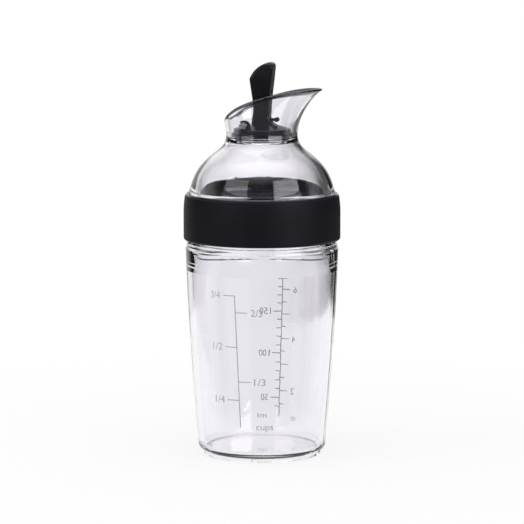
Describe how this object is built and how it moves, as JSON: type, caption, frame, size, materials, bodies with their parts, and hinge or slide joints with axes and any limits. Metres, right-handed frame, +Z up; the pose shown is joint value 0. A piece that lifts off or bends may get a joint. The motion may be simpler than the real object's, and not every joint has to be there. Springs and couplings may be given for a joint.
{
  "type": "salad dressing shaker bottle",
  "caption": "Clear tapered shaker bottle with a black screw collar, a clear domed pouring spout and a flip-up lever stopper; for mixing and pouring salad dressing.",
  "frame": {"origin": "centre of the foot ring, on the surface that the bottle stands on", "axes": "+Z up along the bottle's axis, +X towards the tip of the pouring spout, +Y to the left when looking along the spout"},
  "size_m": [0.0688, 0.0688, 0.1726],
  "materials": {
    "clear_plastic": "water-clear moulded styrene plastic, polished",
    "black_plastic": "black moulded plastic, satin to gloss",
    "soft_grip": "matte soft-touch elastomer over the collar",
    "dark_silicone": "blue-black silicone, slightly glossy"
  },
  "bodies": {
    "container": {"container": "clear_plastic"},
    "pour_top": {"pour_dome": "clear_plastic", "lid_seal": "dark_silicone"},
    "collar": {"collar_ring": "black_plastic", "grip_sleeve": "soft_grip"},
    "stopper": {"lever": "black_plastic", "stopper_seal": "dark_silicone", "seal_retainer": "black_plastic"}
  },
  "joints": [
    {"name": "top_lift", "type": "slide", "parent": "container", "child": "pour_top", "axis": [0, 0, 1], "range_m": [0, 0.01601]},
    {"name": "collar_turn", "type": "hinge", "parent": "pour_top", "child": "collar", "pos_m": [0, 0, 0.105], "axis": [0, 0, 1], "range_deg": [0, 720]},
    {"name": "lever_flip", "type": "hinge", "parent": "pour_top", "child": "stopper", "pos_m": [-0.0054, 0, 0.1454], "axis": [0, -1, 0], "range_deg": [0, 83]}
  ],
  "couplings": [
    {"joint": "top_lift", "follows": "collar_turn", "m_per_rad": 0.0012732}
  ]
}
